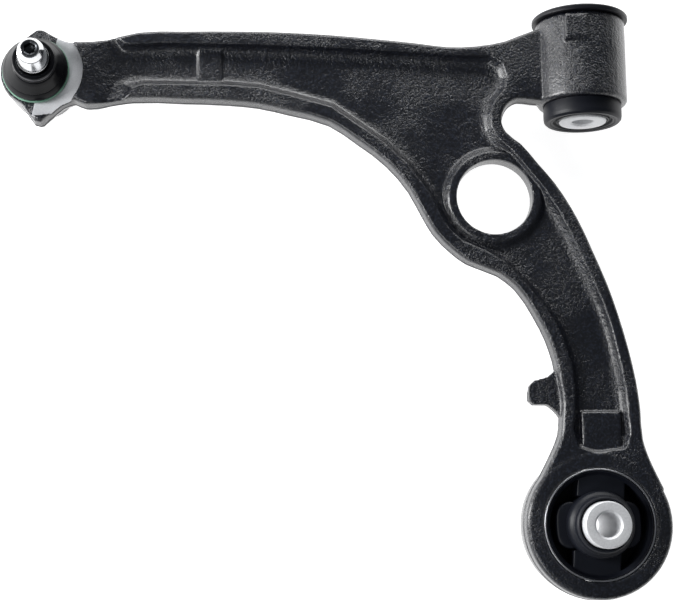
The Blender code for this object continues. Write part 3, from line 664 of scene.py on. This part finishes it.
def skin_loops(name, loops, finish, crease=30.0):
    """A closed piece through loops of points in millimetres, from the lowest to the highest or inwards."""
    data = bmesh.new()
    rings = [[data.verts.new(point * MM) for point in loop] for loop in loops]
    for low, high in zip(rings, rings[1:]):
        for k in range(len(low)):
            j = (k + 1) % len(low)
            data.faces.new((low[k], low[j], high[j], high[k]))
    data.faces.new(rings[0][::-1])
    data.faces.new(rings[-1])
    bmesh.ops.recalc_face_normals(data, faces=data.faces)
    mesh = bpy.data.meshes.new(name)
    data.to_mesh(mesh)
    data.free()
    mesh.shade_smooth()
    mesh.set_sharp_from_angle(angle=math.radians(crease))
    mesh.materials.append(finish)
    return link(name, mesh)


def place_mesh(obj, place, lean):
    """Lean a mesh towards the bushes and put it in place, inside its mesh."""
    obj.data.transform(Matrix.Translation(Vector(place) * MM) @ Matrix.Rotation(lean, 4, 'Y'))
    return obj


def stud():
    ball_r = 12.5
    foot_angle, arc, arc_steps = -80.0, 137.4, 24     # the ball's outline, in degrees, up to the neck
    angles = [math.radians(foot_angle + arc * k / arc_steps) for k in range(arc_steps + 1)]
    ball = [(ball_r * math.cos(a), ball_r * math.sin(a)) for a in angles]
    tip_r = 5.4
    end = (extent("ball_stud")[1].z - BALL.z - tip_r * math.sin(STUD_LEAN)) / math.cos(STUD_LEAN)
    shank = [(6.5, 12.0), (6.6, 14.5), (7.2, 19.0), (8.7, 23.5), (9.0, 24.1), (9.0, 32.4), (8.3, 32.6),
             (8.3, 33.3), (9.1, 33.4), (9.3, 33.6), (9.3, 34.6), (9.2, 34.8), (8.7, 34.95), (8.7, 35.2),
             (9.1, 35.4), (7.75, end - 5.2), (7.45, end - 5.0), (7.35, end - 4.8), (7.35, end - 4.5),
             (7.6, end - 4.3), (7.55, end - 4.0), (5.75, end - 0.7), (tip_r, end - 0.25), (5.1, end),
             (4.2, end), (4.0, end - 0.15), (3.85, end - 0.35)]
    loops = [loop_points(r, z) for r, z in ball + shank]
    loops += [loop_points(3.1, end - 0.6, 6), loop_points(3.0, end - 0.9, 6),
              loop_points(3.0, end - 5.0, 6), loop_points(2.2, end - 5.4), loop_points(0.3, end - 6.2)]
    obj = skin_loops("polished_stud", loops, STUD_STEEL)
    obj.data.materials.append(STUD_END_STEEL)
    for face in obj.data.polygons:
        middle = face.center / MM
        if middle.z > end - 6.5 and math.hypot(middle.x, middle.y) < 5.1:
            face.material_index = 1
    return place_mesh(obj, BALL, STUD_LEAN)


polished = stud()
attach(polished, "stud")
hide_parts("ball_stud")
print("stud:", len(polished.data.polygons), "faces")

# %% [markdown]
# ## The rubber boot
#
# The boot is moulded as one shell, but it joins two things that move: the casting and the stud. It is turned
# here as two halves that meet at its fold and lean over with the stud.

# %% The boot
def lean_gradually(obj, low, high):
    """Turn points about the ball centre, not at all below low and fully above high."""
    centre = BALL * MM
    for vertex in obj.data.vertices:
        offset = vertex.co - centre
        share = min(1.0, max(0.0, (offset.z / MM - low) / (high - low)))
        share = share * share * (3 - 2 * share)
        vertex.co = centre + Matrix.Rotation(STUD_LEAN * share, 3, 'Y') @ offset


foot = extent("dust_boot")[0].z - BALL.z
NECK = 31.6                    # top of the boot and middle of its fold, above the ball's centre
FOLD = 17.2
skirt_outline = [(17.3, foot), (18.9, foot), (18.9, foot + 0.3), (18.9, foot + 2.6), (19.35, foot + 3.1),
                 (19.4, foot + 4.1), (18.6, foot + 5.6), (17.4, FOLD - 0.4), (16.5, FOLD - 0.3),
                 (16.3, FOLD + 0.5), (15.6, FOLD + 0.5), (17.1, foot + 4.6), (17.3, foot + 4.0)]
neck_outline = [
    (15.6, FOLD - 0.2), (17.3, FOLD - 0.35), (17.2, FOLD), (16.9, FOLD + 0.5), (15.2, foot + 11.2),
    (13.9, foot + 13.4), (12.9, foot + 14.9), (12.05, foot + 15.7), (12.5, foot + 16.5),
    (12.5, NECK - 4.4), (11.6, NECK - 3.7), (11.6, NECK - 2.0), (12.4, NECK - 1.4), (12.2, NECK - 0.2),
    (11.2, NECK), (10.2, NECK - 0.3), (9.3, NECK - 1.2), (9.3, NECK - 4.6), (10.2, NECK - 6.2),
    (11.9, foot + 13.4), (13.8, foot + 10.8)]
skirt = turned("boot_skirt", skirt_outline, BOOT_RUBBER, BALL, corner=0.3, steps=128)
neck = turned("boot_neck_sleeve", neck_outline, BOOT_RUBBER, BALL, corner=0.35, steps=128)
for half in (skirt, neck):
    lean_gradually(half, foot + 3.0, NECK - 6.0)
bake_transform(skirt)
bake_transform(neck)
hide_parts("dust_boot")
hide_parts("dust_boot")

# %% [markdown]
# ## Rings on the boot
#
# A pale green band holds the boot's foot and a spring wire of three close turns grips its neck. The wire
# follows a path, so a Geometry Nodes spiral carries a round section along it.

# %% Band and spring wire
band_low, band_high = extent("boot_lower_ring")
band_r = (band_high.x - band_low.x) / 2
band_outline = [(19.1, band_low.z), (band_r, band_low.z), (band_r, band_high.z), (19.1, band_high.z)]
band = turned("green_band", band_outline, RING_GREEN, (BALL.x, BALL.y, 0), corner=0.4, steps=128)
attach(band, "arm")
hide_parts("boot_lower_ring")


def wire_tree():
    group, tree, ask = open_tree('wire coil', {
        'Start': ('Geometry', None), 'Turns': ('Float', None), 'Coil radius': ('Float', None),
        'Rise': ('Float', None), 'Wire radius': ('Float', None), 'Finish': ('Material', None)}, 'Wire')
    path = tree.node('GeometryNodeCurveSpiral', None,
                     {'Resolution': 96, 'Rotations': ask['Turns'], 'Start Radius': ask['Coil radius'],
                      'End Radius': ask['Coil radius'], 'Height': ask['Rise']})
    section = tree.node('GeometryNodeCurvePrimitiveCircle', None,
                        {'Resolution': 12, 'Radius': ask['Wire radius']})
    wire = tree.node('GeometryNodeCurveToMesh', None,
                     {'Curve': path, 'Profile Curve': section, 'Fill Caps': True})
    smooth = tree.node('GeometryNodeSetShadeSmooth', None, {'Geometry': wire})
    close_tree(tree, smooth, ask['Finish'])
    return group


WIRE_R = 0.34
coil = run_tree(link("boot_spring_wire", bpy.data.meshes.new("boot_spring_wire")), wire_tree(), Turns=3.0,
                Coil_radius=12.0 * MM, Rise=2 * 2.1 * WIRE_R * MM, Wire_radius=WIRE_R * MM, Finish=RING_WIRE)
coil.data.transform(Matrix.Translation((0, 0, (NECK - 2.85 - 2.1 * WIRE_R) * MM)))
place_mesh(coil, BALL, STUD_LEAN)
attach(coil, "boot_neck")
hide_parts("boot_upper_ring")
print("spring wire:", len(coil.data.polygons), "faces")

# %% [markdown]
# ## The front bush
#
# A tube with a flange is pressed into the front boss, rubber fills it, and a sleeve for the bolt runs right
# through. The rubber's end is moulded with two grooves, which give it room to bulge when the sleeve twists.

# %% Front bush
def across(node):
    """Ends of a front bush piece, from the boss's middle, and its radius."""
    low, high = extent(node)
    return low.y - FRONT.y, high.y - FRONT.y, (high.z - low.z) / 2


tube_back, tube_front, flange_r = across("front_bush_outer_tube")
tube_outline = [(20.6, tube_back), (22.6, tube_back), (22.6, 25.8), (flange_r - 0.2, 25.8), (flange_r, 26.4),
                (flange_r, tube_front - 0.9), (flange_r - 1.0, tube_front), (24.0, tube_front - 0.5),
                (20.6, tube_front - 0.6)]
tube = turned("front_tube", tube_outline, BUSH_PAINT, FRONT, ALONG_PIVOT, corner=0.5)
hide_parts("front_bush_outer_tube")

rubber_back, rubber_front, collar_r = across("front_bush_rubber")
core = 14.5                    # radius of the rubber's bore
FRONT_BORE_R = 6.45            # the two bolt bores
REAR_BORE_R = 7.0
end_outline = [
    (core, rubber_back + 2.0), (core + 0.6, rubber_back + 1.1), (core + 1.2, rubber_back + 1.0),
    (core + 1.7, rubber_back + 2.4), (core + 2.9, rubber_back + 2.4), (core + 3.4, rubber_back + 0.8),
    (core + 4.4, rubber_back + 0.5), (core + 4.8, rubber_back + 1.2), (core + 5.2, rubber_back + 0.3),
    (collar_r - 1.6, rubber_back), (collar_r - 0.3, rubber_back + 1.2), (collar_r, rubber_back + 3.0),
    (collar_r, -25.8), (20.2, -25.8), (20.2, rubber_front - 1.6), (18.6, rubber_front - 1.6),
    (18.6, rubber_front), (core, rubber_front)]
front_rubber = turned("front_rubber", end_outline, BUSH_RUBBER, FRONT, ALONG_PIVOT, corner=0.35)
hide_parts("front_bush_rubber")


def sleeve_outline(outer, bore, low, high):
    """A sleeve sawn to length, with a chamfer outside and a wider one in the bore."""
    return [(bore, low + 1.1), (bore + 1.1, low), (outer - 0.6, low), (outer, low + 0.6),
            (outer, high - 0.6), (outer - 0.6, high), (bore + 1.1, high), (bore, high - 1.1)]


sleeve_back, sleeve_front, sleeve_r = across("front_bush_inner_sleeve")
front_sleeve = turned("front_sleeve", sleeve_outline(sleeve_r, FRONT_BORE_R, sleeve_back, sleeve_front),
                      SLEEVE_METAL, FRONT, ALONG_PIVOT, corner=0.15)
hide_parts("front_bush_inner_sleeve")
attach(tube, "arm")
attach(front_rubber, "arm")
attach(front_sleeve, "front_sleeve")

# %% [markdown]
# ## The rear bush
#
# A thin steel shell is pressed into the ring. The rubber inside lines it, crosses to the hub in two webs fore
# and aft, and carries a bump stop on each side that meets the liner only when the arm is pushed hard. The
# liner stays with the shell, the hub goes with the sleeve, and the webs stretch between them.

# %% Rear bush: shell, liner and sleeve
REAR_BASE = Vector((REAR.x, REAR.y, 0.0))
shell_low, shell_high = extent("rear_bush_outer_shell")
shell_r = (shell_high.x - shell_low.x) / 2
shell_outline = [(shell_r - 1.0, shell_low.z), (shell_r, shell_low.z), (shell_r, shell_high.z),
                 (shell_r - 1.0, shell_high.z)]
shell = turned("rear_shell", shell_outline, SHELL_METAL, REAR_BASE, corner=0.35, steps=160)
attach(shell, "arm")
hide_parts("rear_bush_outer_shell")

hub_low, hub_high = extent("rear_bush_rubber")
liner_r = shell_r - 1.1
web_low, web_high = shell_low.z + 2.5, shell_high.z - 3.4
liner_outline = [(liner_r - 2.6, web_low - 1.0), (liner_r, web_low - 1.4), (liner_r, web_high + 2.6),
                 (liner_r - 0.8, web_high + 2.4), (liner_r - 1.6, web_high + 1.0), (liner_r - 2.6, web_high)]
liner = turned("rear_liner", liner_outline, BUSH_RUBBER, REAR_BASE, corner=0.5, steps=160)
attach(liner, "arm")

bore_low, bore_high = extent("rear_bush_inner_sleeve")
rear_r = (bore_high.x - bore_low.x) / 2
rear_sleeve = turned("rear_sleeve_tube", sleeve_outline(rear_r, REAR_BORE_R, bore_low.z, bore_high.z),
                     SLEEVE_METAL, REAR_BASE, corner=0.15)
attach(rear_sleeve, "rear_sleeve")
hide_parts("rear_bush_inner_sleeve")

# %% Rear bush: hub, bump stops and webs
def prism(corners, low, high):
    """A closed upright block between two heights, from corners in millimetres."""
    data = bmesh.new()
    rings = [[data.verts.new(Vector((x, y, z)) * MM) for x, y in corners] for z in (low, high)]
    for k in range(len(corners)):
        j = (k + 1) % len(corners)
        data.faces.new((rings[0][k], rings[0][j], rings[1][j], rings[1][k]))
    data.faces.new(rings[0][::-1])
    data.faces.new(rings[1])
    bmesh.ops.recalc_face_normals(data, faces=data.faces)
    mesh = bpy.data.meshes.new("block")
    data.to_mesh(mesh)
    data.free()
    return mesh


MOULDED_VOXEL = 0.55


def moulded(name, blocks, finish, passes):
    """Blocks that run into each other, fused into one rounded moulding."""
    data = bmesh.new()
    for mesh in blocks:
        data.from_mesh(mesh)
    mesh = bpy.data.meshes.new(name)
    data.to_mesh(mesh)
    data.free()
    obj = link(name, mesh)
    remesh = obj.modifiers.new('skin', 'REMESH')
    remesh.mode = 'VOXEL'
    remesh.voxel_size = MOULDED_VOXEL * MM
    remesh.use_smooth_shade = True
    smooth = obj.modifiers.new('soften', 'SMOOTH')
    smooth.factor = 0.5
    smooth.iterations = passes
    apply_modifiers(obj)
    obj.data.materials.append(finish)
    print(f"{name}: {len(obj.data.polygons)} faces")
    return obj


HUB_R = 16.2
HUB_FOOT_R = 19.3
FLOOR_LOW, FLOOR_HIGH = web_low, web_low + 1.2
sleeve_clear = rear_r + FIT_GAP
hub_foot = shell_high.z + 5.6
hub_outline = [
    (sleeve_clear, hub_low.z), (HUB_R - 0.6, hub_low.z), (HUB_R, hub_low.z + 1.4), (HUB_R, FLOOR_LOW - 2.6),
    (HUB_R - 2.3, FLOOR_LOW - 2.4), (HUB_R - 2.3, FLOOR_HIGH + 2.9), (HUB_FOOT_R - 0.6, FLOOR_HIGH + 3.0),
    (HUB_FOOT_R, FLOOR_HIGH + 3.8), (HUB_FOOT_R, hub_foot - 2.2), (HUB_FOOT_R - 0.8, hub_foot - 0.6),
    (HUB_R + 0.8, hub_foot + 0.6), (HUB_R, hub_foot + 1.8), (HUB_R, hub_high.z - 1.4),
    (HUB_R - 0.9, hub_high.z), (sleeve_clear + 1.0, hub_high.z), (sleeve_clear + 0.8, hub_high.z - 1.6),
    (sleeve_clear, hub_high.z - 2.0)]
hub = turned("rear_hub_collar", hub_outline, BUSH_RUBBER, REAR_BASE, corner=0.7, steps=96)
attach(hub, "rear_sleeve")

# A thin rubber floor closes the voids between the webs at their foot. It is partly a guess at the bush's shape
# and partly a dark sheet standing in for the shade inside the voids, so that no pale floor shows through them.
floor_outline = [(HUB_R + 1.9, FLOOR_LOW), (liner_r - 1.2, FLOOR_LOW), (liner_r - 1.2, FLOOR_HIGH + 0.2),
                 (HUB_R + 1.9, FLOOR_HIGH)]
void_shade_floor = turned("rear_void_shade_floor", floor_outline, BUSH_RUBBER, REAR_BASE, corner=0.3, steps=128)
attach(void_shade_floor, "arm")

LOBE_REACH = liner_r - 6.8     # how far a bump stop reaches from the hub's axis


def rounded(corners, passes=3):
    """The same outline with its corners cut off again and again, until it is round."""
    for _ in range(passes):
        cut = []
        for k, (x, y) in enumerate(corners):
            u, v = corners[(k + 1) % len(corners)]
            cut += [(x * 0.75 + u * 0.25, y * 0.75 + v * 0.25), (x * 0.25 + u * 0.75, y * 0.25 + v * 0.75)]
        corners = cut
    return corners


stops = []
for side in (1, -1):
    corners = [(side * x, y) for x, y in ((12.0, -13.5), (12.0, 13.5), (19.0, 13.5), (LOBE_REACH + 0.4, 9.0),
                                          (LOBE_REACH + 0.4, -9.0), (19.0, -13.5))]
    stops.append(prism(rounded(corners), FLOOR_HIGH + 4.0, web_high - 0.4))
bumpers = moulded("rear_bump_stops", stops, BUSH_RUBBER, passes=24)
bumpers.data.transform(Matrix.Translation(REAR_BASE * MM))
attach(bumpers, "rear_sleeve")

WEB_TURN = math.radians(-5.0)  # the webs cross the ring a little askew
web_reach = liner_r - 1.0
for side, word in ((1, "front"), (-1, "back")):
    half = 13.75
    spread = math.asin(half / web_reach)
    arc = [spread * (1 - k / 8) for k in range(17)]
    shape = [(-half, 15.4), (half, 15.4)] + [(web_reach * math.sin(a), web_reach * math.cos(a)) for a in arc]
    block = prism([(side * x, side * y) for x, y in shape], FLOOR_HIGH + 0.4, web_high)
    web = moulded("rear_web_" + word, [block], BUSH_RUBBER, passes=10)
    web.data.transform(Matrix.Translation(REAR_BASE * MM) @ Matrix.Rotation(WEB_TURN, 4, 'Z'))
    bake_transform(web)
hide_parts("rear_bush_rubber")

# %% [markdown]
# ## Inside and under the ball joint
#
# Two plastic seats hold the ball. They are hidden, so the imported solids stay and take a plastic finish. The
# cover that closes the joint from below can be seen from underneath, and it is turned afresh.

# %% Seats and cover
for node in ("upper_ball_seat", "lower_ball_seat"):
    mesh = frame["nodes"][node].data
    mesh.materials.clear()
    mesh.materials.append(SEAT_PLASTIC)

cover_low, cover_high = extent("ball_joint_cover")
cover_r = (cover_high.x - cover_low.x) / 2
cover_outline = [(0, cover_low.z), (8.0, cover_low.z), (9.4, cover_low.z + 0.3), (10.8, cover_low.z + 1.6),
                 (cover_r, cover_low.z + 1.6), (cover_r, cover_high.z), (0, cover_high.z)]
cover = turned("pressed_cover", cover_outline, COVER_METAL, (BALL.x, BALL.y, 0), corner=0.6)
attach(cover, "arm")
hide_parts("ball_joint_cover")

# %% [markdown]
# ## Floor and last measures
#
# The floor is plain and pale. The last cell counts the triangles of the shown pieces.

# %% Floor
FLOOR_SIZE = 6.0
floor_mesh = bpy.data.meshes.new("floor")
half_floor = FLOOR_SIZE / 2
floor_mesh.from_pydata([(-half_floor, -half_floor, 0), (half_floor, -half_floor, 0),
                        (half_floor, half_floor, 0), (-half_floor, half_floor, 0)], [], [(0, 1, 2, 3)])
floor = link("floor", floor_mesh)
floor.location.z = cad_low.z - 0.05 * MM
paper = Finish('paper_white')
paper.set('Base Color', (0.60, 0.60, 0.60))
paper.set('Roughness', 0.9)
paper.set('Emission Color', (1.0, 1.0, 1.0))
paper.shader.inputs['Emission Strength'].default_value = 0.92
floor_mesh.materials.append(paper.material)
floor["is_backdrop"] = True

# %% Measures
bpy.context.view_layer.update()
total = sum(len(p.vertices) - 2 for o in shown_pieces() if o.type == 'MESH' for p in o.data.polygons)
print("triangles", total)
